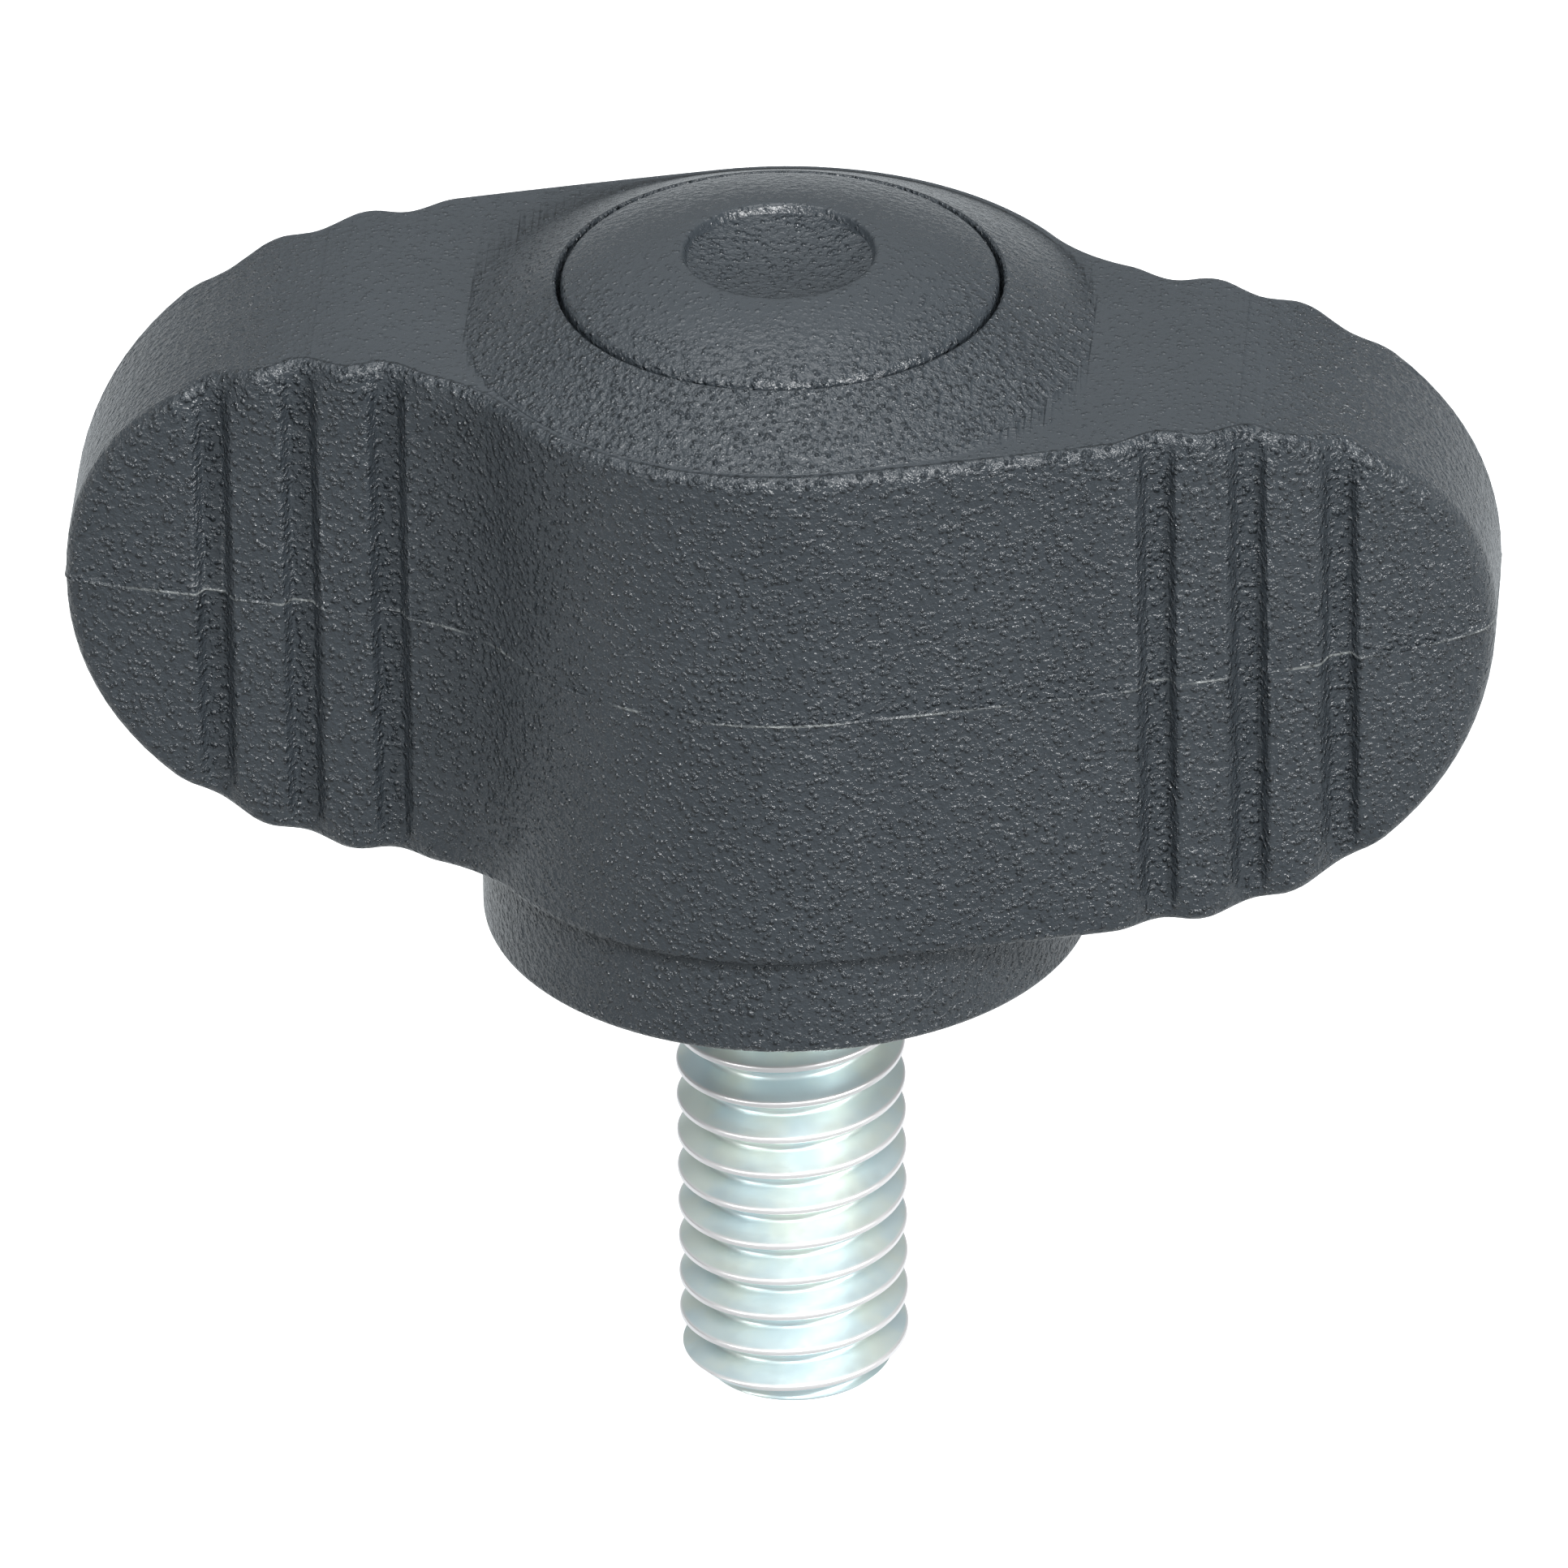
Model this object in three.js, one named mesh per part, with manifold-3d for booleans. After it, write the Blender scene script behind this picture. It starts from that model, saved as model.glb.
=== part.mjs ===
// Wing screw: a moulded two-winged knob with a hexagon-head screw pressed into
// its hub and a push-in cap that closes the hub over the screw's head.
// Millimetres, +Z up. The origin is on the screw's axis at the flat underside of
// the collar, which is the face that clamps. +X runs along the wings.

import * as THREE from 'three';
import { mergeVertices } from 'three/addons/utils/BufferGeometryUtils.js';
import Module from 'manifold-3d';

const wasm = await Module();
wasm.setup();

// ---------------------------------------------------------------- driving sizes

const inch = 25.4;

// Knob body
const wingSpan = 48.8;              // tip to tip
const wingTipWidth = 4.2;           // across the flat of a wing's end
const wingDepth = 19.0;             // underside to top of a wing
const wingEndLength = 11.3;         // length of the rounded end, seen from the front
const wingEndFullness = 2.17;       // 2 is an ellipse, more is fuller
const hubRadius = 11.2;
const collarHeight = 3.8;           // collar below the wings
const collarInset = 0.74;           // how far the collar stands back from the hub
const collarEdge = 0.4;
const hubConeHeight = 1.55;         // cone between the wings' top and the cap
const hubConeInset = 0.55;          // flat between the cone's foot and the hub's side
const hubConeTopWidth = 0.1;        // flat land between the cone and the cap's recess
const gripFaceAngle = 10.6;         // degrees between X and the hollow grip face
const gripRootRadius = 6.0;         // fillet where the hollow face meets the hub
const fullFaceStartAngle = 14.3;    // degrees, full face where it leaves the hub
const fullFaceEndAngle = 131;       // degrees, full face where it has rounded the tip
const wingEdge = 0.4;               // broken edge round the wings, top and bottom

// Grip grooves, three on each face of each wing
const groovesPerFace = 3;
const groovePitch = 3.04;
const firstGroove = 13.15;          // middle of the innermost groove from the axis, along X
const grooveWidth = 1.35;
const grooveDepth = 0.5;
const grooveSideWidth = 0.3;        // how far each side slopes in

// Screw: 5/16-18 UNC, 1 inch long, hexagon head
const threadMajor = 5 / 16 * inch;
const threadPitch = inch / 18;
const screwLength = 1.0 * inch;     // under the head
const threadedLength = 7 / 8 * inch;
const threadAllowance = 0.05;       // major diameter below nominal, as rolled and plated
const threadStartAngle = -74;       // degrees from +X, where a crest is level with the thread's top
const headAcrossFlats = 1 / 2 * inch;
const headHeight = 13 / 64 * inch;
const headChamferAngle = 30;        // degrees
const headFaceInset = 0.3;          // round top face inside the flats
const pointRadius = 3.05;           // flat end inside the chamfer

// Cap
const capPastCorners = 0.05;        // rim of the cap past the corners of the screw's pocket
const capRimThickness = 1.5;
const capRise = 1.05;               // rim edge up to the lip of the thumb dish
const dishRadius = 3.3;
const dishStep = 0.3;               // side of the dish under its lip
const dishStepWidth = 0.12;
const dishHollow = 0.3;             // further down to the middle of the dish
const capSkirtHeight = 4.0;
const capSkirtWall = 1.1;

// Fits
const headToPocket = 0.06;          // round the head, and under it
const screwToHole = 0.2;
const capToRecess = 0.15;
const capToSeat = 0.1;
const skirtToPocket = 0.1;

// Screw seat: floor of the hub under the screw's head
const hubFloor = 7.24;

// Facets
const turnSegments = 48;
const threadSegments = 20;
const endSteps = 14;

// ------------------------------------------------------------- worked-out sizes

const rad = THREE.MathUtils.degToRad;
const wingBottom = collarHeight;
const wingTop = wingBottom + wingDepth;
const wingMiddle = wingBottom + wingDepth / 2;
const halfSpan = wingSpan / 2;
const halfTip = wingTipWidth / 2;
const pocketFlatRadius = headAcrossFlats / 2 + headToPocket;
const pocketCornerRadius = pocketFlatRadius / Math.cos(Math.PI / 6);
const capRadius = pocketCornerRadius + capPastCorners;
const capRecessRadius = capRadius + capToRecess;
const collarRadius = hubRadius - collarInset;
const hubConeRadius = hubRadius - hubConeInset;
const hubConeTopRadius = capRecessRadius + hubConeTopWidth;
const hubTop = wingTop + hubConeHeight;
const capSeat = hubTop - capRimThickness;
const headUnderside = hubFloor + headToPocket;
const shankRadius = threadMajor / 2;
const threadMajorRadius = shankRadius - threadAllowance / 2;
const threadRootRadius = threadMajorRadius - 0.6134 * threadPitch;
const threadBury = 0.1;             // how far the ridge is sunk in the core
const screwEnd = headUnderside - screwLength;
const threadTop = screwEnd + threadedLength;

// -------------------------------------------------------------- solids by meshes

// A geometry's points are welded so that neighbouring faces share them.
function toSolid(geometry) {
  const bare = geometry.clone();
  bare.deleteAttribute('normal');
  bare.deleteAttribute('uv');
  const welded = mergeVertices(bare, 1e-4);
  return new wasm.Manifold(new wasm.Mesh({
    numProp: 3,
    vertProperties: new Float32Array(welded.attributes.position.array),
    triVerts: new Uint32Array(welded.index.array),
  }));
}

function toGeometry(solid) {
  const mesh = solid.getMesh();
  const geometry = new THREE.BufferGeometry();
  geometry.setAttribute('position', new THREE.BufferAttribute(mesh.vertProperties, 3));
  geometry.setIndex(new THREE.BufferAttribute(mesh.triVerts, 1));
  geometry.computeVertexNormals();
  return geometry;
}

// A profile of [radius, height] pairs turned round Z.
function turned(profile, segments = turnSegments) {
  const points = profile.map(([radius, height]) => new THREE.Vector2(radius, height));
  const geometry = new THREE.LatheGeometry(points, segments);
  geometry.rotateX(Math.PI / 2);
  return toSolid(geometry);
}

// A shape drawn in XY and raised from one height to another.
function raised(shape, bottom, top, options = {}) {
  const geometry = new THREE.ExtrudeGeometry(shape, {
    depth: top - bottom,
    bevelEnabled: false,
    curveSegments: 12,
    ...options,
  });
  geometry.translate(0, 0, bottom);
  return toSolid(geometry);
}

function hexagon(flatRadius) {
  const shape = new THREE.Shape();
  const cornerRadius = flatRadius / Math.cos(Math.PI / 6);
  for (let corner = 0; corner < 6; corner += 1) {
    const angle = corner * Math.PI / 3;
    const x = cornerRadius * Math.cos(angle);
    const y = cornerRadius * Math.sin(angle);
    if (corner === 0) shape.moveTo(x, y);
    else shape.lineTo(x, y);
  }
  shape.closePath();
  return shape;
}

// ------------------------------------------------------------------- wing outline

// The hollow grip face of a wing: a straight line through the tip's corner that
// runs into the hub through a fillet. All on the -X wing, facing -Y.
function hollowFace() {
  const angle = -rad(gripFaceAngle);
  const along = new THREE.Vector2(Math.cos(angle), Math.sin(angle));
  const outward = new THREE.Vector2(Math.sin(angle), -Math.cos(angle));
  const corner = new THREE.Vector2(-halfSpan, -halfTip);
  const offset = outward.dot(corner);
  const centreDistance = hubRadius + gripRootRadius;
  const centreOffset = offset + gripRootRadius;
  const reach = -Math.sqrt(centreDistance ** 2 - centreOffset ** 2);
  const centre = along.clone().multiplyScalar(reach).addScaledVector(outward, centreOffset);
  const faceEnd = centre.clone().addScaledVector(outward, -gripRootRadius);
  const hubStart = centre.clone().multiplyScalar(hubRadius / centreDistance);
  return { corner, along, outward, centre, faceEnd, hubStart };
}

// The full grip face of a wing: it leaves the hub at a tangent and runs, slightly
// bowed, to the tip's corner. All on the +X wing, facing -Y.
function fullFace() {
  const startAngle = rad(fullFaceStartAngle);
  const endAngle = rad(fullFaceEndAngle);
  const start = new THREE.Vector2(hubRadius * Math.sin(startAngle), -hubRadius * Math.cos(startAngle));
  const corner = new THREE.Vector2(halfSpan, -halfTip);
  const startSlope = Math.tan(startAngle);
  const endSlope = Math.tan(endAngle);
  const x = (start.y - corner.y + endSlope * corner.x - startSlope * start.x) / (endSlope - startSlope);
  const bow = new THREE.Vector2(x, start.y + startSlope * (x - start.x));
  return { start, bow, corner, curve: new THREE.QuadraticBezierCurve(start, bow, corner) };
}

// Half of the outline, drawn once for the -Y side and once more turned by half a
// turn, because a wing screw looks the same after half a turn.
function wingOutline() {
  const hollow = hollowFace();
  const full = fullFace();
  const filletStart = Math.atan2(hollow.faceEnd.y - hollow.centre.y, hollow.faceEnd.x - hollow.centre.x);
  const filletEnd = Math.atan2(-hollow.centre.y, -hollow.centre.x);
  const hubFrom = Math.atan2(hollow.hubStart.y, hollow.hubStart.x);
  const hubTo = Math.atan2(full.start.y, full.start.x);
  const shape = new THREE.Shape();
  for (const side of [1, -1]) {
    const turn = side === 1 ? 0 : Math.PI;
    if (side === 1) shape.moveTo(hollow.corner.x, hollow.corner.y);
    else shape.lineTo(-hollow.corner.x, -hollow.corner.y);
    shape.lineTo(side * hollow.faceEnd.x, side * hollow.faceEnd.y);
    shape.absarc(side * hollow.centre.x, side * hollow.centre.y, gripRootRadius,
      filletStart + turn, filletEnd + turn, true);
    shape.absarc(0, 0, hubRadius, hubFrom + turn, hubTo + turn, false);
    shape.quadraticCurveTo(side * full.bow.x, side * full.bow.y,
      side * full.corner.x, side * full.corner.y);
  }
  shape.closePath();
  return shape;
}

// Seen from the front a wing is level along its top and underside, and its end is
// half of a slightly squared ellipse.
function wingElevation() {
  const straight = halfSpan - wingEndLength;
  const shape = new THREE.Shape();
  const power = 2 / wingEndFullness;
  for (const side of [1, -1]) {
    for (let step = 0; step <= endSteps; step += 1) {
      const angle = Math.PI * (step / endSteps - 0.5);
      const reach = wingEndLength * Math.cos(angle) ** power;
      const rise = wingDepth / 2 * Math.sign(angle) * Math.abs(Math.sin(angle)) ** power;
      if (side === 1 && step === 0) shape.moveTo(straight, rise);
      else shape.lineTo(side * (straight + reach), side * rise);
    }
  }
  shape.closePath();
  return shape;
}

// ------------------------------------------------------------------- grip grooves

// Section of a groove, across the face (x) and into it (y), open above the face.
function grooveSection() {
  const half = grooveWidth / 2;
  const shape = new THREE.Shape();
  shape.moveTo(-half, grooveDepth);
  shape.lineTo(-half, 0);
  shape.lineTo(-half + grooveSideWidth, -grooveDepth);
  shape.lineTo(half - grooveSideWidth, -grooveDepth);
  shape.lineTo(half, 0);
  shape.lineTo(half, grooveDepth);
  shape.closePath();
  return shape;
}

// One groove cutter, standing past both ends of a wing's depth. The point is on
// a face that looks along -Y, and the angle is the direction of the face there.
function grooveCutter(point, angle) {
  const overrun = wingDepth / 10;
  const geometry = new THREE.ExtrudeGeometry(grooveSection(), {
    depth: wingDepth + 2 * overrun,
    bevelEnabled: false,
  });
  geometry.translate(0, 0, -wingDepth / 2 - overrun);
  geometry.rotateZ(Math.PI + angle);
  geometry.translate(point.x, point.y, wingMiddle);
  return toSolid(geometry);
}

function hollowFaceGrooves() {
  const face = hollowFace();
  const angle = -rad(gripFaceAngle);
  const cutters = [];
  for (let index = 0; index < groovesPerFace; index += 1) {
    const x = -(firstGroove + index * groovePitch);
    const point = new THREE.Vector2(x, face.corner.y + (x - face.corner.x) * Math.tan(angle));
    cutters.push(grooveCutter(point, angle));
  }
  return cutters;
}

// Where the full face's curve reaches a distance from the axis along X, found by
// halving, because X grows all the way along the part that is grooved.
function shareAt(curve, wanted) {
  let low = 0;
  let high = 0.75;
  for (let step = 0; step < 40; step += 1) {
    const middle = (low + high) / 2;
    if (curve.getPoint(middle).x < wanted) low = middle;
    else high = middle;
  }
  return (low + high) / 2;
}

function fullFaceGrooves() {
  const { curve } = fullFace();
  const cutters = [];
  for (let index = 0; index < groovesPerFace; index += 1) {
    const share = shareAt(curve, firstGroove + index * groovePitch);
    const tangent = curve.getTangent(share);
    cutters.push(grooveCutter(curve.getPoint(share), Math.atan2(tangent.y, tangent.x)));
  }
  return cutters;
}

// ------------------------------------------------------------------------ pieces

function makeWingBody() {
  const plan = raised(wingOutline(), wingBottom + wingEdge, wingTop - wingEdge, {
    bevelEnabled: true,
    bevelThickness: wingEdge,
    bevelSize: wingEdge,
    bevelOffset: -wingEdge,
    bevelSegments: 1,
  });
  const elevation = new THREE.ExtrudeGeometry(wingElevation(), {
    depth: 4 * hubRadius,
    bevelEnabled: false,
  });
  elevation.translate(0, 0, -2 * hubRadius);
  elevation.rotateX(Math.PI / 2);
  elevation.translate(0, 0, wingMiddle);
  let body = plan.intersect(toSolid(elevation));
  for (const cutter of [...hollowFaceGrooves(), ...fullFaceGrooves()]) {
    body = body.subtract(cutter);
    body = body.subtract(cutter.rotate([0, 0, 180]));
  }
  body = body.add(turned([
    [0, 0],
    [collarRadius - collarEdge, 0],
    [collarRadius, collarEdge],
    [collarRadius, wingMiddle],
    [hubConeRadius, wingMiddle],
    [hubConeRadius, wingTop],
    [hubConeTopRadius, hubTop],
    [0, hubTop],
  ]));
  body = body.subtract(raised(hexagon(pocketFlatRadius), hubFloor, hubTop + 1));
  body = body.subtract(turned([
    [0, capSeat],
    [capRecessRadius, capSeat],
    [capRecessRadius, hubTop + 1],
    [0, hubTop + 1],
  ]));
  const holeRadius = shankRadius + screwToHole;
  body = body.subtract(turned([[0, -1], [holeRadius, -1], [holeRadius, hubFloor + 1], [0, hubFloor + 1]]));
  return toGeometry(body);
}

// The thread's ridge is a section extruded straight and then wound round Z. It
// starts inside the plain shank and runs out past the screw's end.
function threadRidge() {
  const turns = Math.ceil(threadedLength / threadPitch) + 2;
  const steps = turns * threadSegments;
  const crestHalf = threadPitch / 16;
  const innerRadius = threadRootRadius - threadBury;
  const innerHalf = crestHalf + (threadMajorRadius - innerRadius) * Math.tan(rad(30));
  const section = new THREE.Shape();
  section.moveTo(innerRadius, -innerHalf);
  section.lineTo(threadMajorRadius, -crestHalf);
  section.lineTo(threadMajorRadius, crestHalf);
  section.lineTo(innerRadius, innerHalf);
  section.closePath();
  const geometry = new THREE.ExtrudeGeometry(section, { depth: 1, steps, bevelEnabled: false });
  const position = geometry.attributes.position;
  for (let index = 0; index < position.count; index += 1) {
    const radius = position.getX(index);
    const turn = -turns * position.getZ(index);
    const angle = 2 * Math.PI * turn + rad(threadStartAngle);
    const height = position.getY(index) + threadPitch * (turn + 1);
    position.setXYZ(index, radius * Math.cos(angle), radius * Math.sin(angle), threadTop + height);
  }
  return toSolid(geometry);
}

// The screw before its thread is cut back at the point: a core with the plain
// shank above it.
function screwRod() {
  const runout = shankRadius - threadRootRadius;
  return turned([
    [0, screwEnd - threadPitch],
    [threadRootRadius, screwEnd - threadPitch],
    [threadRootRadius, threadTop - runout],
    [shankRadius, threadTop],
    [shankRadius, headUnderside + headHeight / 2],
    [0, headUnderside + headHeight / 2],
  ], threadSegments);
}

// Everything outside this is turned away: the flat point and its chamfer.
function pointBlank() {
  const outer = shankRadius + screwToHole;
  return turned([
    [0, screwEnd],
    [pointRadius, screwEnd],
    [outer, screwEnd + outer - pointRadius],
    [outer, headUnderside + headHeight / 2],
    [0, headUnderside + headHeight / 2],
  ], 2 * threadSegments);
}

function screwHead() {
  const top = headUnderside + headHeight;
  const faceRadius = headAcrossFlats / 2 - headFaceInset;
  const outer = headAcrossFlats;
  const blank = turned([
    [0, headUnderside],
    [outer, headUnderside],
    [outer, top - (outer - faceRadius) * Math.tan(rad(headChamferAngle))],
    [faceRadius, top],
    [0, top],
  ]);
  return raised(hexagon(headAcrossFlats / 2), headUnderside, top).intersect(blank);
}

function makeHexScrew() {
  const rod = threadRidge().add(screwRod()).intersect(pointBlank());
  return toGeometry(rod.add(screwHead()));
}

function makeCap() {
  const rimTop = hubTop + capToSeat;
  const rimBottom = capSeat + capToSeat;
  const skirtRadius = pocketFlatRadius - skirtToPocket;
  const skirtBottom = rimBottom - capSkirtHeight;
  const dishFloorEdge = rimTop + capRise - dishStep;
  const profile = [];
  const dishSteps = 4;
  for (let step = 0; step <= dishSteps; step += 1) {
    const share = step / dishSteps;
    profile.push([(dishRadius - dishStepWidth) * share, dishFloorEdge - dishHollow * (1 - share * share)]);
  }
  const domeSteps = 6;
  for (let step = 0; step <= domeSteps; step += 1) {
    const share = step / domeSteps;
    profile.push([dishRadius + (capRadius - dishRadius) * share, rimTop + capRise * (1 - share ** 1.6)]);
  }
  profile.push([capRadius, rimBottom]);
  profile.push([skirtRadius, rimBottom]);
  profile.push([skirtRadius, skirtBottom]);
  profile.push([skirtRadius - capSkirtWall, skirtBottom]);
  profile.push([skirtRadius - capSkirtWall, rimBottom]);
  profile.push([0, rimBottom]);
  return toGeometry(turned(profile.reverse()));
}

// ---------------------------------------------------------------------- assembly

const blackPlastic = { color: 0x3b4043, roughness: 0.55, metalness: 0.0 };

function named(name, geometry, look) {
  const mesh = new THREE.Mesh(geometry, new THREE.MeshStandardMaterial(look));
  mesh.name = name;
  return mesh;
}

const wingScrew = new THREE.Group();
wingScrew.add(named('wing_body', makeWingBody(), blackPlastic));
wingScrew.add(named('hex_screw', makeHexScrew(), { color: 0xc9d2d6, roughness: 0.25, metalness: 1.0 }));
wingScrew.add(named('hub_cap', makeCap(), blackPlastic));

export default wingScrew;
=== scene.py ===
import math

import bmesh
import bpy
from mathutils import Matrix, Vector


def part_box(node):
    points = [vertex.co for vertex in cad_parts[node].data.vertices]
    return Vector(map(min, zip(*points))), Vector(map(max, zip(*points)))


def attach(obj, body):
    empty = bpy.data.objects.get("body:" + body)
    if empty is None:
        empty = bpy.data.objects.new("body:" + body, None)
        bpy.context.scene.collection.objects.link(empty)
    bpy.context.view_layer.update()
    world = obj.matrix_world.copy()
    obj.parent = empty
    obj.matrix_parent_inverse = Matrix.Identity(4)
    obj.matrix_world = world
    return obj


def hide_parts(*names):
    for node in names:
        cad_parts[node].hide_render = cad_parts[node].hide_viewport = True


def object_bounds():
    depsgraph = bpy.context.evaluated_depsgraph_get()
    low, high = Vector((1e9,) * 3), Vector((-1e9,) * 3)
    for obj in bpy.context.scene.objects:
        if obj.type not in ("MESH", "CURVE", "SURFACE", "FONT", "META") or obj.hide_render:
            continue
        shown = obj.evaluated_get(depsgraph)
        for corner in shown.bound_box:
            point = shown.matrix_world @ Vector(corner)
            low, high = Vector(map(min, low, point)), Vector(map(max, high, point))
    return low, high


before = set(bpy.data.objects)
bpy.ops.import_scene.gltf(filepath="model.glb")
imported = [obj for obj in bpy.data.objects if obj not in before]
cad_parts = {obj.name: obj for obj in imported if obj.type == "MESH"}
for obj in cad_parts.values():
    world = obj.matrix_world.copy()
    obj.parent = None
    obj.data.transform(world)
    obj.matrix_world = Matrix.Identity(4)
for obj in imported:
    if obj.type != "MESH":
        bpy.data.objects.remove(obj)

cad_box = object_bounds()
scene = bpy.context.scene


# ------------------------------------------------------------------------- studio
# A small product stand: white paper swept under the part, one long soft box in front
# and above it, one behind it, and white walls all round. The part stands on the point
# of its screw, and the camera looks down on it from far away through a long lens.

MM = 0.001

camera_azimuth = math.radians(3.893)
camera_height = math.radians(29.529)
camera_roll = math.radians(0.801)
camera_distance = 1108 * MM
camera_stands_off = Vector((0, 0, 12)) * MM
camera_aim = Vector((-0.1, 0, 4.65)) * MM

towards_camera = Vector((
    math.sin(camera_azimuth) * math.cos(camera_height),
    -math.cos(camera_azimuth) * math.cos(camera_height),
    math.sin(camera_height),
))
lens = bpy.data.cameras.new("lens")
lens.sensor_width = 36
lens.lens = 746.2
lens.clip_start, lens.clip_end = 0.05, 50
camera = bpy.data.objects.new("camera", lens)
camera.location = camera_stands_off + towards_camera * camera_distance
level = (camera_aim - camera.location).to_track_quat("-Z", "Y").to_matrix()
camera.rotation_euler = (level @ Matrix.Rotation(-camera_roll, 3, "Z")).to_euler()
scene.collection.objects.link(camera)
scene.camera = camera
scene.view_settings.view_transform = "Standard"


class Value:
    """A node's output that can stand in a sum with numbers and other outputs."""

    def __init__(self, wiring, socket):
        self.wiring = wiring
        self.socket = socket

    def sum_of(self, operation, *terms):
        return self.wiring.add("ShaderNodeMath", {"operation": operation}, dict(enumerate(terms)))

    def __add__(self, other):
        return self.sum_of("ADD", self, other)

    def __sub__(self, other):
        return self.sum_of("SUBTRACT", self, other)

    def __rsub__(self, other):
        return self.sum_of("SUBTRACT", other, self)

    def __mul__(self, other):
        return self.sum_of("MULTIPLY", self, other)

    def __truediv__(self, other):
        return self.sum_of("DIVIDE", self, other)

    def __abs__(self):
        return self.sum_of("ABSOLUTE", self)

    __radd__ = __add__
    __rmul__ = __mul__


class Wiring:
    """The nodes of one material or of the world."""

    def __init__(self, owner):
        owner.use_nodes = True
        self.tree = owner.node_tree
        self.tree.nodes.clear()

    def add(self, kind, settings=None, sockets=None, output=0):
        node = self.tree.nodes.new(kind)
        for name, setting in (settings or {}).items():
            if name == "stops":
                ramp = node.color_ramp.elements
                for stop, (place, colour) in enumerate(setting):
                    element = ramp[stop] if stop < 2 else ramp.new(place)
                    element.position, element.color = place, colour
            else:
                setattr(node, name, setting)
        for name, value in (sockets or {}).items():
            if isinstance(value, Value):
                self.tree.links.new(value.socket, node.inputs[name])
            else:
                node.inputs[name].default_value = value
        return Value(self, node.outputs[output]) if len(node.outputs) else None

    def smooth(self, value, low, high):
        """0 below low, 1 above high, and an easy slope between them."""
        sockets = {"Value": value, "From Min": low, "From Max": high}
        return self.add("ShaderNodeMapRange", {"interpolation_type": "SMOOTHSTEP"}, sockets)

    def blend(self, share, first, second):
        """Mixes two colours by a share from 0 to 1."""
        sockets = {0: share, 6: first, 7: second}
        return self.add("ShaderNodeMix", {"data_type": "RGBA"}, sockets, output=2)


def link_piece(bm, name, scale=MM):
    """Turns a bmesh drawn in millimetres into an object of the scene."""
    bmesh.ops.scale(bm, vec=(scale, scale, scale), verts=bm.verts)
    mesh = bpy.data.meshes.new(name)
    bm.to_mesh(mesh)
    bm.free()
    piece = bpy.data.objects.new(name, mesh)
    scene.collection.objects.link(piece)
    return piece


paper_half = 3000
paper = bmesh.new()
bmesh.ops.create_grid(paper, x_segments=8, y_segments=8, size=paper_half)
bmesh.ops.translate(paper, vec=(0, 0, cad_box[0].z / MM), verts=paper.verts)
floor = link_piece(paper, "paper_floor")
floor.visible_diffuse = floor.visible_glossy = False

white_paper = bpy.data.materials.new("white_paper")
wiring = Wiring(white_paper)
place = wiring.add("ShaderNodeTexCoord", output="Object")
fibre = wiring.add("ShaderNodeTexNoise", {}, {"Vector": place, "Scale": 900.0, "Detail": 3.0})
tooth = wiring.add("ShaderNodeBump", {}, {"Height": fibre, "Strength": 0.05, "Distance": 0.05 * MM})
paper_shade = wiring.add("ShaderNodeBsdfPrincipled", {}, {
    "Base Color": (0.55, 0.55, 0.55, 1),
    "Roughness": 0.9,
    "Normal": tooth,
    "Emission Color": (1, 1, 1, 1),
    "Emission Strength": 0.86,
})
wiring.add("ShaderNodeOutputMaterial", {}, {"Surface": paper_shade})
floor.data.materials.append(white_paper)


def soft_box(name, azimuth, height, distance, size, strength, tint=(1, 1, 1)):
    """A soft box that hangs round the part and looks at it."""
    lamp = bpy.data.lights.new(name, "AREA")
    lamp.shape = "RECTANGLE"
    lamp.size, lamp.size_y = size
    lamp.energy = strength
    lamp.color = tint
    box = bpy.data.objects.new(name, lamp)
    turn, rise = math.radians(azimuth), math.radians(height)
    away = Vector((
        math.sin(turn) * math.cos(rise),
        -math.cos(turn) * math.cos(rise),
        math.sin(rise),
    ))
    box.location = away * distance
    box.rotation_euler = away.to_track_quat("Z", "Y").to_euler()
    scene.collection.objects.link(box)


soft_box("key_box", 10, 44, 0.9, (0.56, 0.13), 9.0)
soft_box("side_box", 50, 20, 0.9, (0.16, 0.16), 6.6)
soft_box("left_box", -50, 16, 0.9, (0.20, 0.20), 1.8)
soft_box("top_box", 180, 84, 0.8, (0.60, 0.50), 2.8)

walls = bpy.data.worlds.new("white_walls")
scene.world = walls
wiring = Wiring(walls)
ray = wiring.add("ShaderNodeTexCoord", output="Generated")
axis = wiring.add("ShaderNodeSeparateXYZ", {}, {0: ray})
dimmed = 1 - wiring.smooth(0 - axis, 0.45, 0.95) * 0.6 - wiring.smooth(axis, 0.15, 0.65) * 0.6
behind = wiring.add("ShaderNodeSeparateXYZ", {}, {0: ray}, output=1)
upward = wiring.add("ShaderNodeSeparateXYZ", {}, {0: ray}, output=2)
below = 1 - wiring.smooth(upward, -0.15, 0.10)
bright = (0.28 + wiring.smooth(upward, 0.2, 0.5) * 0.44) * dimmed * (1 - below)
bright = bright + (0.48 + wiring.smooth(behind, -0.2, 0.4) * 0.55) * below
room = wiring.add("ShaderNodeBackground", {}, {"Color": (0.92, 0.97, 1.0, 1), "Strength": bright})
wiring.add("ShaderNodeOutputWorld", {}, {"Surface": room})


# ---------------------------------------------------------------------- wing body
# The handle is moulded in one shot from glass-filled nylon, in a mould that opens up
# and down, so a thin line of flash runs round it at half the wings' height. The mould
# is spark-eroded, which leaves a coarse grain on everything but the level tops.

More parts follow.
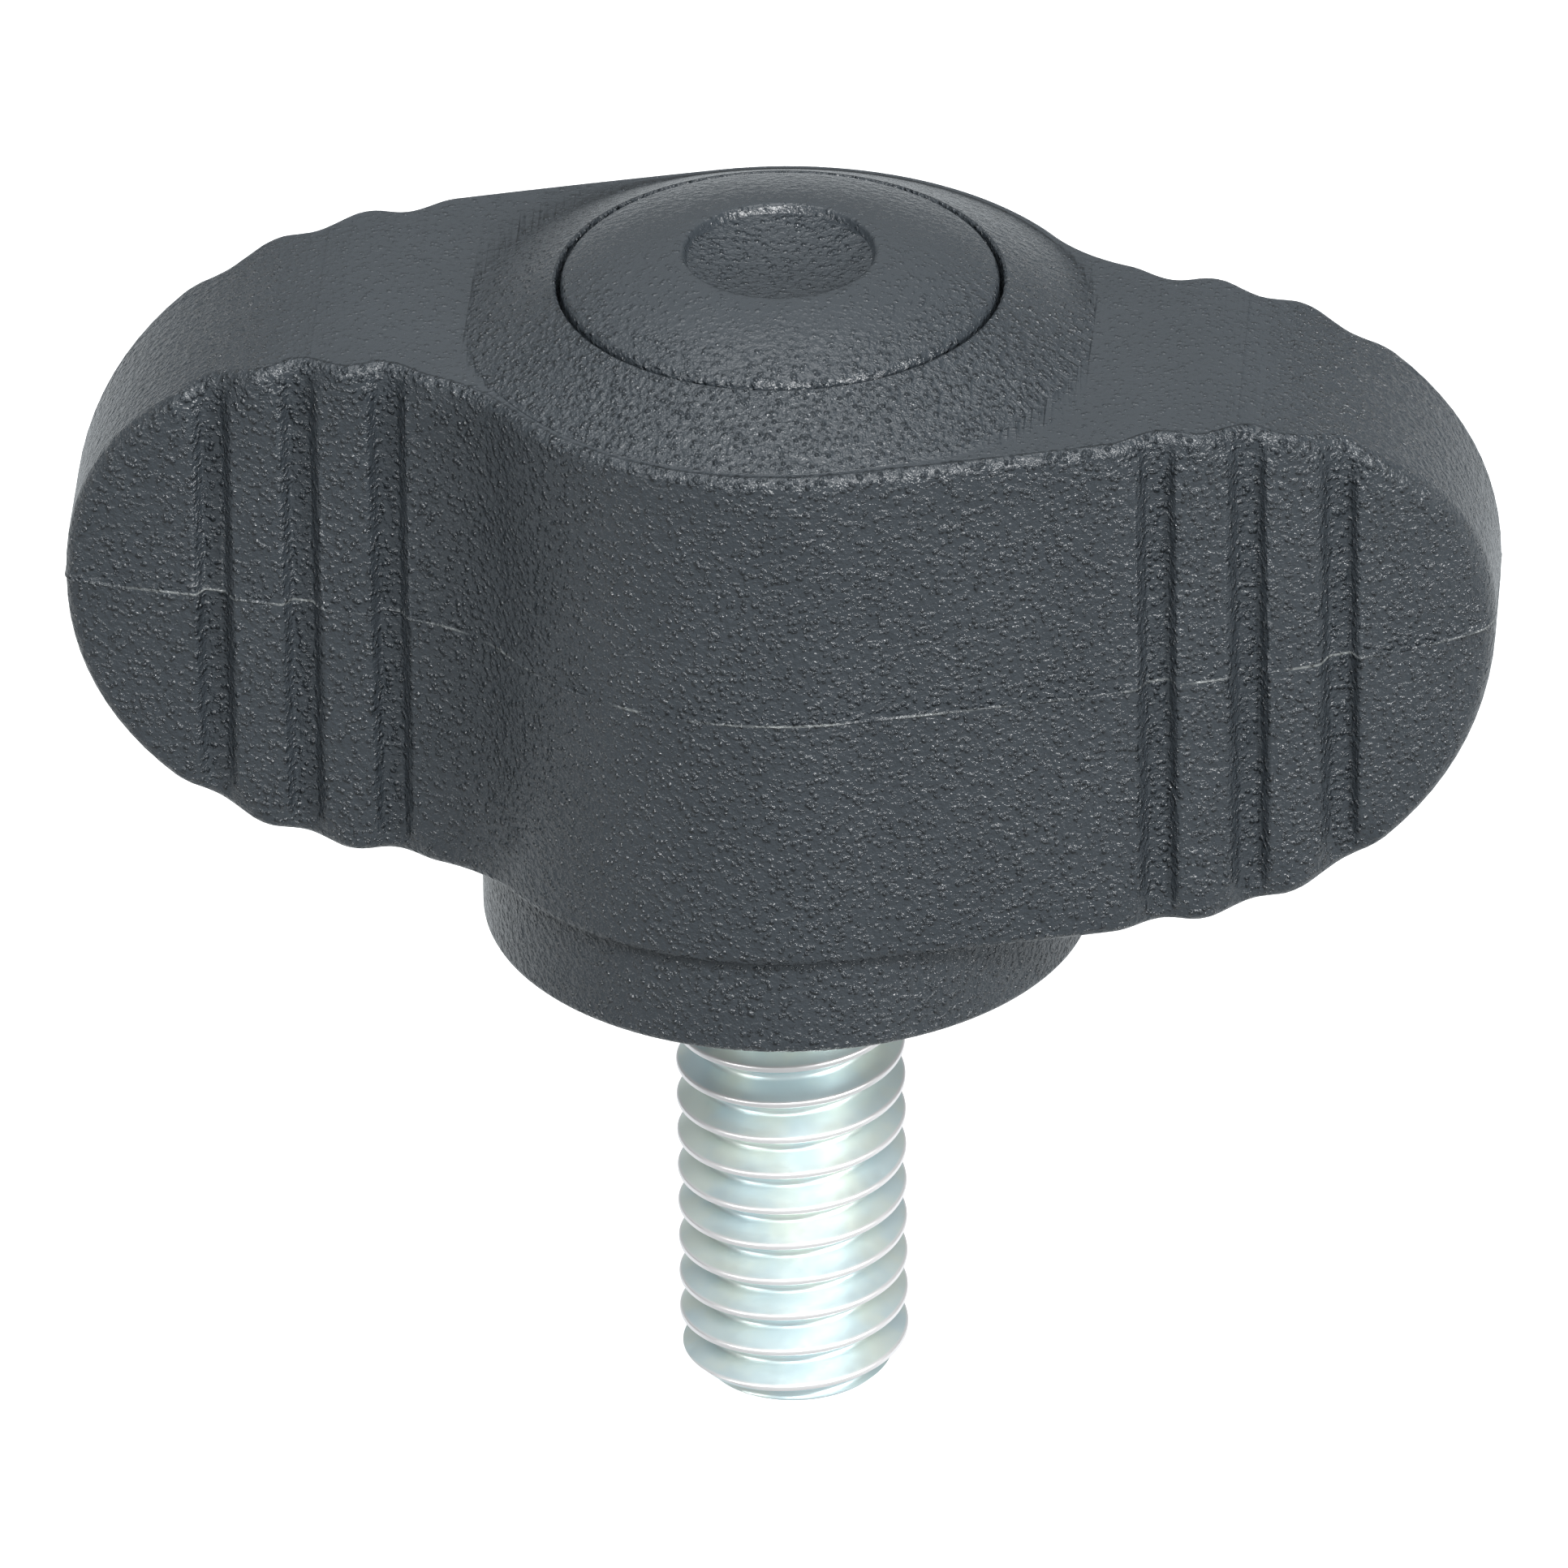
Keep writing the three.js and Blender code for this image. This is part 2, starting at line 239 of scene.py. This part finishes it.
body_low, body_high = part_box("wing_body")
half_span = body_high.x / MM
hub_radius = 11.2
wing_bottom, wing_top = 3.8, 22.8
hub_top = body_high.z / MM
half_tip = 2.1
wing_end_length = 11.3
wing_end_fullness = 2.17
grip_face_angle = math.radians(10.6)
grip_root_radius = 6.0
full_face_start = math.radians(14.3)
full_face_bow = Vector((26.7, -4.75))
edge_round = 0.45

groove_pitch = 3.04
groove_middles = [13.15 + groove_pitch * groove for groove in range(3)]
groove_half = 0.72
groove_depth = 0.5
groove_side = 0.42
groove_fade = 1.0

collar_radius, collar_round = 10.46, 0.35
cone_foot_radius = 10.65
cap_recess_radius, cap_seat = 7.6, hub_top - 1.5
recess_round = 0.12
pocket_corner_radius = 6.41 / math.cos(math.pi / 6)
hub_floor = 7.24
screw_hole_radius = 4.17

wing_middle = (wing_bottom + wing_top) / 2
wing_half_depth = (wing_top - wing_bottom) / 2

# The hollow face is a straight line through the tip's corner, filleted into the hub.
along = Vector((math.cos(grip_face_angle), -math.sin(grip_face_angle)))
outward = Vector((-math.sin(grip_face_angle), -math.cos(grip_face_angle)))
tip_corner = Vector((-half_span, -half_tip))
root_offset = outward.dot(tip_corner) + grip_root_radius
root_reach = math.sqrt((hub_radius + grip_root_radius) ** 2 - root_offset ** 2)
root_centre = outward * root_offset - along * root_reach
face_end = root_centre - outward * grip_root_radius
hub_start = root_centre * (hub_radius / (hub_radius + grip_root_radius))
full_start = Vector((math.sin(full_face_start), -math.cos(full_face_start))) * hub_radius
full_corner = Vector((half_span, -half_tip))


def plain_depth(x):
    """How far the face that looks along -Y stands out at a place along the wings."""
    if x < face_end.x:
        return -tip_corner.y + (x - tip_corner.x) * math.tan(grip_face_angle)
    if x < hub_start.x:
        return -root_centre.y - math.sqrt(grip_root_radius ** 2 - (x - root_centre.x) ** 2)
    if x < full_start.x:
        return math.sqrt(hub_radius ** 2 - x ** 2)
    # A quadratic curve's share of its length at this x, from its own equation.
    bend = full_start.x - 2 * full_face_bow.x + full_corner.x
    lean = full_face_bow.x - full_start.x
    share = (math.sqrt(lean ** 2 - bend * (full_start.x - x)) - lean) / bend
    y = (1 - share) ** 2 * full_start.y + 2 * share * (1 - share) * full_face_bow.y
    return -(y + share ** 2 * full_corner.y)


def groove_share(x, firm):
    """0 on the lands and 1 on a groove's floor. A firm groove has steep sides, and towards
    the wing's edge it softens into a wave."""
    nearest = min(abs(abs(x) - middle) for middle in groove_middles)
    share = min(1, max(0, (groove_half - nearest) / groove_side))
    steep = share * share * (3 - 2 * share)
    wave = 0.5 + 0.5 * math.cos(2 * math.pi * min(nearest / groove_pitch, 0.5))
    return steep * firm + wave * (1 - firm)


def face_lean(x):
    """How much longer a step across the face is along Y than square to it."""
    step = 0.01
    slope = (plain_depth(x + step) - plain_depth(x - step)) / (2 * step)
    return math.sqrt(1 + slope * slope)


def flat_face(points, name="face"):
    """A bmesh with one face drawn through points."""
    bm = bmesh.new()
    bm.faces.new([bm.verts.new(point) for point in points])
    return bm


def raise_face(bm, vec):
    """Draws every face of a flat bmesh out into a solid."""
    raised = bmesh.ops.extrude_face_region(bm, geom=bm.faces[:])["geom"]
    corners = [item for item in raised if isinstance(item, bmesh.types.BMVert)]
    bmesh.ops.translate(bm, vec=vec, verts=corners)
    bmesh.ops.recalc_face_normals(bm, faces=bm.faces)


# The wings begin as a plate with the right outline from the front, its edges rounded.
end_steps = 44
plate_half = 20.0
elevation = []
for side in (1, -1):
    for step in range(end_steps + 1):
        turn = math.pi * (step / end_steps - 0.5)
        power = 2 / wing_end_fullness
        reach = wing_end_length * max(0, math.cos(turn)) ** power
        rise = wing_half_depth * math.copysign(abs(math.sin(turn)) ** power, turn)
        elevation.append((side * (half_span - wing_end_length + reach), -plate_half,
                          wing_middle + side * rise))
wings = flat_face(elevation)
raise_face(wings, (0, 2 * plate_half, 0))
rims = [edge for edge in wings.edges
        if len(edge.link_faces) == 2 and edge.calc_face_angle() > math.radians(60)]
bmesh.ops.bevel(wings, geom=rims, offset=edge_round, offset_type="OFFSET", segments=6,
                profile=0.5, affect="EDGES", material=-1)
wings.normal_update()
sides = [face for face in wings.faces if abs(face.normal.y) > 0.999]
bmesh.ops.inset_region(wings, faces=sides, thickness=groove_fade, use_even_offset=True)

# Upright cuts give the plate a line of points wherever its faces bend.
bends = {0.0}
for middle in groove_middles:
    for share in range(7):
        inward = groove_half - groove_side * share / 6
        bends |= {middle - inward, middle + inward}
    for share in range(-8, 9):
        bends.add(middle + groove_pitch * share / 16)
for step in range(1, 12):
    bends.add(face_end.x + (hub_start.x - face_end.x) * step / 12)
arc_from = math.atan2(hub_start.y, hub_start.x)
arc_to = math.atan2(full_start.y, full_start.x)
for step in range(25):
    bends.add(hub_radius * math.cos(arc_from + (arc_to + 2 * math.pi - arc_from) % (2 * math.pi) * step / 24))
for step in range(1, 60):
    bends.add(full_start.x + (half_span - full_start.x) * step / 60)
for x in sorted({round(sign * bend, 4) for bend in bends for sign in (1, -1)}):
    bmesh.ops.bisect_plane(wings, geom=wings.verts[:] + wings.edges[:] + wings.faces[:],
                           dist=1e-5, plane_co=(x, 0, 0), plane_no=(1, 0, 0))


def rim_distance(x, z):
    """How far a point of the outline's face is from the outline."""
    across, up = max(0, abs(x) - half_span + wing_end_length), abs(z - wing_middle)
    fullness = wing_end_fullness
    size = ((across / wing_end_length) ** fullness + (up / wing_half_depth) ** fullness) ** (1 / fullness)
    return math.hypot(across, up) * (1 / max(size, 1e-6) - 1)


# The plate's two faces then move to where the wings' faces are. What looks along +Y is
# the other face turned by half a turn.
for corner in wings.verts:
    side = 1 if corner.co.y > 0 else -1
    x = -side * corner.co.x
    inward = (plate_half - abs(corner.co.y)) * face_lean(x)
    firm = min(1, max(0, (rim_distance(x, corner.co.z) - edge_round) / (0.8 * groove_fade)))
    depth = plain_depth(x) - groove_depth * groove_share(x, firm) * face_lean(x)
    corner.co.y = side * (depth - inward)
body = link_piece(wings, "wing_body_moulding")


def turned(profile, steps=160):
    """A solid of revolution from a profile of radius and height that meets the axis."""
    bm = bmesh.new()
    corners = [bm.verts.new((radius, 0, height)) for radius, height in profile]
    edges = [bm.edges.new(pair) for pair in zip(corners, corners[1:])]
    bmesh.ops.spin(bm, geom=corners + edges, cent=(0, 0, 0), axis=(0, 0, 1),
                   angle=2 * math.pi, steps=steps, use_merge=True)
    bmesh.ops.remove_doubles(bm, verts=bm.verts, dist=1e-4)
    bmesh.ops.recalc_face_normals(bm, faces=bm.faces)
    return bm


def arc(centre, radius, start, end, steps=5):
    """Points of an arc in a profile, with its angles in degrees."""
    turns = [math.radians(start + (end - start) * step / steps) for step in range(steps + 1)]
    return [(centre[0] + radius * math.cos(turn), centre[1] + radius * math.sin(turn)) for turn in turns]


def settle(piece):
    """Makes a piece's modifiers part of its mesh."""
    shaped = bpy.data.meshes.new_from_object(
        piece.evaluated_get(bpy.context.evaluated_depsgraph_get()))
    piece.modifiers.clear()
    piece.data = shaped


def combine(piece, tool, operation):
    """Joins a solid to a piece or cuts it away, and throws the solid away."""
    cut = piece.modifiers.new("cut", "BOOLEAN")
    cut.solver = "EXACT"
    cut.operation = operation
    cut.object = tool
    settle(piece)
    bpy.data.objects.remove(tool)


core = turned(
    [(0, 0)]
    + arc((collar_radius - collar_round, collar_round), collar_round, -90, 0)
    + [(collar_radius, wing_middle), (cone_foot_radius, wing_middle), (cone_foot_radius, wing_top),
       (cap_recess_radius + recess_round, hub_top), (0, hub_top)]
)
combine(body, link_piece(core, "core"), "UNION")

recess_top = hub_top + 1
recess = turned(
    [(0, cap_seat), (cap_recess_radius, cap_seat)]
    + arc((cap_recess_radius + recess_round, hub_top - recess_round), recess_round, 180, 90, 3)
    + [(cap_recess_radius + recess_round, recess_top), (0, recess_top)]
)
combine(body, link_piece(recess, "recess"), "DIFFERENCE")

pocket = bmesh.new()
bmesh.ops.create_circle(pocket, cap_ends=True, segments=6, radius=pocket_corner_radius)
bmesh.ops.translate(pocket, vec=(0, 0, hub_floor), verts=pocket.verts)
bmesh.ops.rotate(pocket, matrix=Matrix.Rotation(math.pi / 6, 3, "Z"), verts=pocket.verts)
raise_face(pocket, (0, 0, cap_seat - hub_floor + 1))
combine(body, link_piece(pocket, "pocket"), "DIFFERENCE")

hole = bmesh.new()
bmesh.ops.create_circle(hole, cap_ends=True, segments=72, radius=screw_hole_radius)
bmesh.ops.translate(hole, vec=(0, 0, -1), verts=hole.verts)
raise_face(hole, (0, 0, hub_floor + 2))
combine(body, link_piece(hole, "hole"), "DIFFERENCE")

# The flash: a line of points at half height, drawn out of the side by a hair.
flash_half, flash_proud = 0.07, 0.06
moulding = bmesh.new()
moulding.from_mesh(body.data)
bmesh.ops.scale(moulding, vec=(1 / MM, 1 / MM, 1 / MM), verts=moulding.verts)
for height in (wing_middle - flash_half, wing_middle, wing_middle + flash_half):
    bmesh.ops.bisect_plane(moulding, geom=moulding.verts[:] + moulding.edges[:] + moulding.faces[:],
                           dist=1e-5, plane_co=(0, 0, height), plane_no=(0, 0, 1))
moulding.normal_update()
for corner in moulding.verts:
    level_out = Vector((corner.normal.x, corner.normal.y, 0))
    if abs(corner.co.z - wing_middle) < 1e-4 and corner.co.xy.length > hub_radius / 2 + pocket_corner_radius / 2:
        swell = 0.6 + 0.4 * math.sin(1.9 * corner.co.x + 2.3 * math.sin(0.8 * corner.co.x))
        corner.co += level_out * flash_proud * swell
for face in moulding.faces:
    face.smooth = True
bpy.data.objects.remove(body)
body = link_piece(moulding, "wing_body_moulding")
body.data.set_sharp_from_angle(angle=math.radians(35))
level_faces = body.modifiers.new("level faces", "WEIGHTED_NORMAL")
level_faces.keep_sharp = True
settle(body)


def nylon(name, grain, relieved, paled=None):
    """Slate-grey glass-filled nylon. The grain is the height of its pebbles in millimetres.
    relieved gives the share of it that shows at a place, and paled the share of pale flash."""
    material = bpy.data.materials.new(name)
    wiring = Wiring(material)
    place = wiring.add("ShaderNodeTexCoord", output="Object")
    facing = wiring.add("ShaderNodeTexCoord", output="Normal")
    pits = wiring.add("ShaderNodeTexNoise", {}, {
        "Vector": place, "Scale": 3800.0, "Detail": 2.5, "Roughness": 0.6})
    beads = wiring.add("ShaderNodeTexVoronoi", {"feature": "SMOOTH_F1"}, {
        "Vector": place, "Scale": 4600.0, "Smoothness": 0.3})
    clouds = wiring.add("ShaderNodeTexNoise", {}, {"Vector": place, "Scale": 260.0, "Detail": 3.0})
    bead = (1 - wiring.smooth(beads, 0.05, 0.6)) * wiring.smooth(pits, 0.40, 0.62)
    height = (0.65 * bead + 0.85 * pits) * relieved(wiring, place, facing)
    tone = wiring.blend(clouds, (0.022, 0.027, 0.032, 1), (0.031, 0.037, 0.043, 1))
    if paled:
        tone = wiring.blend(paled(wiring, place), tone, (0.15, 0.16, 0.16, 1))
    shine = wiring.add("ShaderNodeBsdfPrincipled", {}, {
        "Base Color": tone,
        "Roughness": 0.36 - 0.18 * pits,
        "IOR": 1.5,
        "Normal": wiring.add("ShaderNodeBump", {}, {"Height": height, "Strength": 1.0, "Distance": grain * MM}),
    })
    wiring.add("ShaderNodeOutputMaterial", {}, {"Surface": shine})
    return material


def body_relief(wiring, place, facing):
    upward = wiring.add("ShaderNodeSeparateXYZ", {}, {0: facing}, output=2)
    return 1 - wiring.smooth(upward, 0.93, 0.995) * 0.72


def body_flash(wiring, place):
    height = wiring.add("ShaderNodeSeparateXYZ", {}, {0: place}, output=2)
    off_line = abs(height - wing_middle * MM)
    streaks = wiring.add("ShaderNodeTexNoise", {}, {"Vector": place, "Scale": 500.0, "Detail": 3.0})
    return (1 - wiring.smooth(off_line, 0.02 * MM, 0.07 * MM)) * wiring.smooth(streaks, 0.40, 0.70)


body.data.materials.append(nylon("body_nylon", 0.19, body_relief, body_flash))

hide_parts("wing_body")
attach(body, "knob")

# --------------------------------------------------------------- hexagon-head screw
# A standard 5/16-18 screw, cold-headed and thread-rolled from mild steel, with a bright
# zinc plate. It is pressed down into the body's six-sided pocket, so the head is out of
# sight and only the thread stands out below the collar.

screw_low, screw_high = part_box("hex_screw")
screw_end, head_top = screw_low.z / MM, screw_high.z / MM
thread_pitch = 25.4 / 18
thread_crest_radius = 3.944
thread_depth = 0.6134 * thread_pitch
thread_root_radius = thread_crest_radius - thread_depth
crest_width = thread_pitch / 8
flank_rise = thread_depth * math.tan(math.radians(30))
thread_top = screw_end + 22.225
front_crest = 1.24
point_radius = 3.05
head_underside = head_top - 5.159
head_flat_radius = 6.35
thread_steps = 96

# One crest after another up the front of the screw, then one turn round the axis that
# climbs by a pitch, so that each thread's end meets the next one's start.
thread = bmesh.new()
profile = []
first_turn = math.floor((screw_end - front_crest) / thread_pitch) - 2
last_turn = math.ceil((thread_top - front_crest) / thread_pitch) + 2
crest_ease, root_ease = 0.05, 0.10
for turn in range(first_turn, last_turn):
    middle = front_crest + turn * thread_pitch
    half = crest_width / 2
    low_root, high_root = middle - half - flank_rise, middle + half + flank_rise
    slope = flank_rise / thread_depth
    profile += [
        (thread_root_radius, low_root - root_ease),
        (thread_root_radius + 0.25 * root_ease, low_root),
        (thread_root_radius + 1.2 * root_ease, low_root + 1.2 * root_ease * slope),
        (thread_crest_radius - crest_ease, middle - half - crest_ease * slope),
        (thread_crest_radius - 0.2 * crest_ease, middle - half + 0.2 * crest_ease),
        (thread_crest_radius, middle - half + crest_ease),
        (thread_crest_radius, middle + half - crest_ease),
        (thread_crest_radius - 0.2 * crest_ease, middle + half - 0.2 * crest_ease),
        (thread_crest_radius - crest_ease, middle + half + crest_ease * slope),
        (thread_root_radius + 1.2 * root_ease, high_root - 1.2 * root_ease * slope),
        (thread_root_radius + 0.25 * root_ease, high_root),
    ]
corners = [thread.verts.new((0, -radius, height)) for radius, height in profile]
lines = [thread.edges.new(pair) for pair in zip(corners, corners[1:])]
bmesh.ops.spin(thread, geom=corners + lines, cent=(0, 0, 0), axis=(0, 0, 1), angle=2 * math.pi,
               dvec=(0, 0, thread_pitch / thread_steps), steps=thread_steps, use_merge=False)
bmesh.ops.remove_doubles(thread, verts=thread.verts, dist=1e-3)
for height, away in ((screw_end - 0.4, -1), (thread_top, 1)):
    bmesh.ops.bisect_plane(thread, geom=thread.verts[:] + thread.edges[:] + thread.faces[:], dist=1e-6,
                           plane_co=(0, 0, height), plane_no=(0, 0, away), clear_outer=True)
    rim = [edge for edge in thread.edges if edge.is_boundary and abs(edge.verts[0].co.z - height) < 1e-3]
    bmesh.ops.contextual_create(thread, geom=rim)
bmesh.ops.recalc_face_normals(thread, faces=thread.faces)
screw = link_piece(thread, "plated_screw")

blank_radius = thread_crest_radius + 0.1
blank = turned([
    (0, screw_end), (point_radius, screw_end), (blank_radius, screw_end + blank_radius - point_radius),
    (blank_radius, thread_top + 1), (0, thread_top + 1),
], 96)
combine(screw, link_piece(blank, "blank"), "INTERSECT")

shank = turned([
    (0, thread_top - 1), (thread_root_radius - 0.05, thread_top - 1),
    (thread_root_radius - 0.05, thread_top - thread_depth), (thread_crest_radius + 0.02, thread_top + 0.02),
    (thread_crest_radius + 0.02, head_underside + 1), (0, head_underside + 1),
], 96)
combine(screw, link_piece(shank, "shank"), "UNION")

head = bmesh.new()
bmesh.ops.create_circle(head, cap_ends=True, segments=6, radius=head_flat_radius / math.cos(math.pi / 6))
bmesh.ops.rotate(head, matrix=Matrix.Rotation(math.pi / 6, 3, "Z"), verts=head.verts)
bmesh.ops.translate(head, vec=(0, 0, head_underside), verts=head.verts)
raise_face(head, (0, 0, head_top - head_underside))
head_piece = link_piece(head, "head")
chamfer = math.tan(math.radians(30))
face_radius, far = head_flat_radius - 0.3, 9.0
head_form = turned([
    (0, head_underside - 1), (far, head_underside - 1), (far, head_top - (far - face_radius) * chamfer),
    (face_radius, head_top), (0, head_top + 0.0),
], 96)
combine(head_piece, link_piece(head_form, "head_form"), "INTERSECT")
combine(screw, head_piece, "UNION")
for face in screw.data.polygons:
    face.use_smooth = True
screw.data.set_sharp_from_angle(angle=math.radians(50))

bright_zinc = bpy.data.materials.new("bright_zinc")
wiring = Wiring(bright_zinc)
place = wiring.add("ShaderNodeTexCoord", output="Object")
bath = wiring.add("ShaderNodeTexNoise", {}, {"Vector": place, "Scale": 420.0, "Detail": 3.0})
haze = wiring.add("ShaderNodeTexNoise", {}, {"Vector": place, "Scale": 2600.0, "Detail": 4.0})
spread = wiring.add("ShaderNodeVectorMath", {"operation": "MULTIPLY"}, {0: place, 1: (1, 1, 0)})
radius = wiring.add("ShaderNodeVectorMath", {"operation": "LENGTH"}, {0: spread}, output=1)
# Painted highlight: the thread's crests are coloured a pale pinkish white, standing in for the light they catch.
crest_highlight = wiring.smooth(radius, (thread_crest_radius - 0.12) * MM, (thread_crest_radius - 0.02) * MM)
plate = wiring.blend(wiring.smooth(bath, 0.35, 0.65), (0.65, 0.77, 0.79, 1), (0.75, 0.82, 0.76, 1))
zinc_shine = wiring.add("ShaderNodeBsdfPrincipled", {}, {
    "Base Color": wiring.blend(crest_highlight, plate, (0.88, 0.86, 0.86, 1)),
    "Metallic": 0.74,
    "Roughness": 0.32 + 0.14 * haze,
    "Normal": wiring.add("ShaderNodeBump", {}, {"Height": haze, "Strength": 1.0, "Distance": 0.006 * MM}),
})
wiring.add("ShaderNodeOutputMaterial", {}, {"Surface": zinc_shine})
screw.data.materials.append(bright_zinc)

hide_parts("hex_screw")
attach(screw, "knob")


# ------------------------------------------------------------------------ hub cap
# A thin round cap of the same nylon that closes the hub over the screw's head. It is
# moulded with a skirt that presses into the pocket and a shallow dish for a thumb, and
# stands a little low of flush behind a fine gap.

cap_low, cap_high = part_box("hub_cap")
cap_radius, cap_crown, skirt_bottom = cap_high.x / MM, cap_high.z / MM, cap_low.z / MM
cap_rim_top, cap_rim_bottom = hub_top + 0.1, cap_seat + 0.1
cap_round = 0.34
skirt_radius, skirt_wall = 6.31, 1.1
dish_radius, dish_step, dish_hollow = 3.3, 0.3, 0.3
lip_round = 0.06

profile = [(0, cap_crown - dish_step - dish_hollow)]
for step in range(1, 13):
    share = step / 13
    profile.append((share * (dish_radius - 0.16), cap_crown - dish_step - dish_hollow * (1 - share ** 2)))
profile += [
    (dish_radius - 0.16, cap_crown - dish_step + 0.01),
    (dish_radius - 0.12, cap_crown - dish_step + 0.08),
    (dish_radius - 0.07, cap_crown - 0.10),
    (dish_radius - 0.02, cap_crown - 0.03),
    (dish_radius + lip_round, cap_crown - 0.004),
]
dome_steps = 20
for step in range(1, dome_steps):
    share = step / dome_steps
    radius = dish_radius + lip_round + share * (cap_radius - cap_round - dish_radius - lip_round)
    along_dome = (radius - dish_radius) / (cap_radius - dish_radius)
    profile.append((radius, cap_rim_top + (cap_crown - cap_rim_top) * (1 - along_dome ** 1.6)))
profile += arc((cap_radius - cap_round, cap_rim_top - cap_round + 0.10), cap_round, 72, 0, 6)
profile += [
    (cap_radius, cap_rim_bottom + 0.1), (cap_radius - 0.1, cap_rim_bottom), (skirt_radius, cap_rim_bottom),
    (skirt_radius, skirt_bottom + 0.4), (skirt_radius - 0.3, skirt_bottom),
    (skirt_radius - skirt_wall, skirt_bottom), (skirt_radius - skirt_wall, cap_rim_bottom), (0, cap_rim_bottom),
]
cap_form = turned(profile, 192)
for face in cap_form.faces:
    face.smooth = True
cap = link_piece(cap_form, "cap_moulding")
cap.data.set_sharp_from_angle(angle=math.radians(40))


def cap_relief(wiring, place, facing):
    spread = wiring.add("ShaderNodeVectorMath", {"operation": "MULTIPLY"}, {0: place, 1: (1, 1, 0)})
    radius = wiring.add("ShaderNodeVectorMath", {"operation": "LENGTH"}, {0: spread}, output=1)
    in_dish = 1 - wiring.smooth(radius, (dish_radius - 0.3) * MM, dish_radius * MM)
    near_rim = wiring.smooth(radius, 5.0 * MM, cap_radius * MM)
    return 0.30 + 0.45 * in_dish + 0.5 * near_rim


cap.data.materials.append(nylon("cap_nylon", 0.18, cap_relief))

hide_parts("hub_cap")
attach(cap, "cap")
